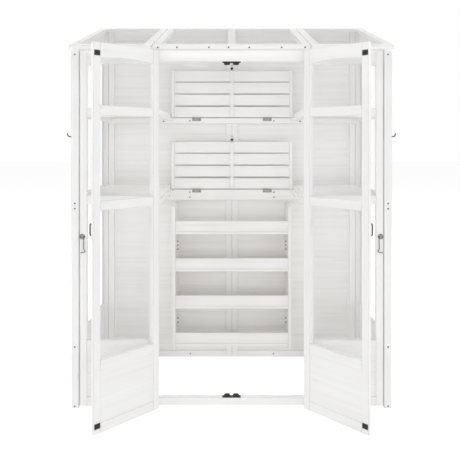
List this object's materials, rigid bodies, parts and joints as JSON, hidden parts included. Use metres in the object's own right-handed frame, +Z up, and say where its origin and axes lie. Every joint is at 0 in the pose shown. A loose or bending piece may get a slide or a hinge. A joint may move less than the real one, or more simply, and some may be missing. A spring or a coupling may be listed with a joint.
{
  "type": "lean-to greenhouse",
  "caption": "White wooden lean-to greenhouse with glazed doors standing open, slatted shelves, drop leaves and a rack of trays inside.",
  "frame": {"origin": "middle of the door sill's underside, on the ground", "axes": "+Z up, +Y from the doors towards the back wall, +X to the right of someone facing the doors"},
  "size_m": [1.682, 0.9838, 2.0714],
  "materials": {
    "white_wood": "white paint on softwood, satin",
    "clear_sheet": "clear acrylic sheet",
    "steel": "zinc plated",
    "black_catch": "black",
    "hinge_metal": "dull zinc"
  },
  "bodies": {
    "house": {"back_boards": "white_wood", "back_posts": "white_wood", "cup_hooks": "steel", "door_catches": "black_catch", "door_head": "white_wood", "door_jamb_hinges": "hinge_metal", "door_sill": "white_wood", "front_boards": "white_wood", "front_glazing": "clear_sheet", "front_posts": "white_wood", "hold_back_hooks": "steel", "leaf_catches": "steel", "leaf_rail_hinges": "hinge_metal", "left_back_panel": "white_wood", "left_front_panel": "white_wood", "left_lower_shelf": "white_wood", "left_roof_section": "white_wood", "left_side_panel": "white_wood", "left_upper_shelf": "white_wood", "lower_leaf_rail": "white_wood", "middle_roof_section": "white_wood", "rack_sides": "white_wood", "right_back_panel": "white_wood", "right_front_panel": "white_wood", "right_lower_shelf": "white_wood", "right_roof_section": "white_wood", "right_side_panel": "white_wood", "right_upper_shelf": "white_wood", "roof_glazing": "clear_sheet", "side_boards": "white_wood", "side_glazing": "clear_sheet", "tray_1": "white_wood", "tray_2": "white_wood", "tray_3": "white_wood", "tray_4": "white_wood", "upper_leaf_rail": "white_wood"},
    "left_door": {"left_door": "white_wood", "left_door_boards": "white_wood", "left_door_glazing": "clear_sheet", "left_door_hinges": "hinge_metal", "left_door_pull": "steel", "left_door_strikes": "black_catch"},
    "right_door": {"right_door": "white_wood", "right_door_boards": "white_wood", "right_door_glazing": "clear_sheet", "right_door_hinges": "hinge_metal", "right_door_pull": "steel", "right_door_strikes": "black_catch"},
    "upper_leaf": {"upper_leaf": "white_wood", "upper_leaf_hinges": "hinge_metal"},
    "lower_leaf": {"lower_leaf": "white_wood", "lower_leaf_hinges": "hinge_metal"}
  },
  "joints": [
    {"name": "left_door_swing", "type": "hinge", "parent": "house", "child": "left_door", "pos_m": [-0.381, -0.0495, 0.9], "axis": [0, 0, -1], "range_deg": [-135, 35]},
    {"name": "right_door_swing", "type": "hinge", "parent": "house", "child": "right_door", "pos_m": [0.381, -0.0495, 0.9], "axis": [0, 0, 1], "range_deg": [-135, 35]},
    {"name": "upper_leaf_fold", "type": "hinge", "parent": "house", "child": "upper_leaf", "pos_m": [0, 0.5865, 1.5015], "axis": [1, 0, 0], "range_deg": [0, 90]},
    {"name": "lower_leaf_fold", "type": "hinge", "parent": "house", "child": "lower_leaf", "pos_m": [0, 0.5865, 1.0565], "axis": [1, 0, 0], "range_deg": [0, 90]}
  ]
}
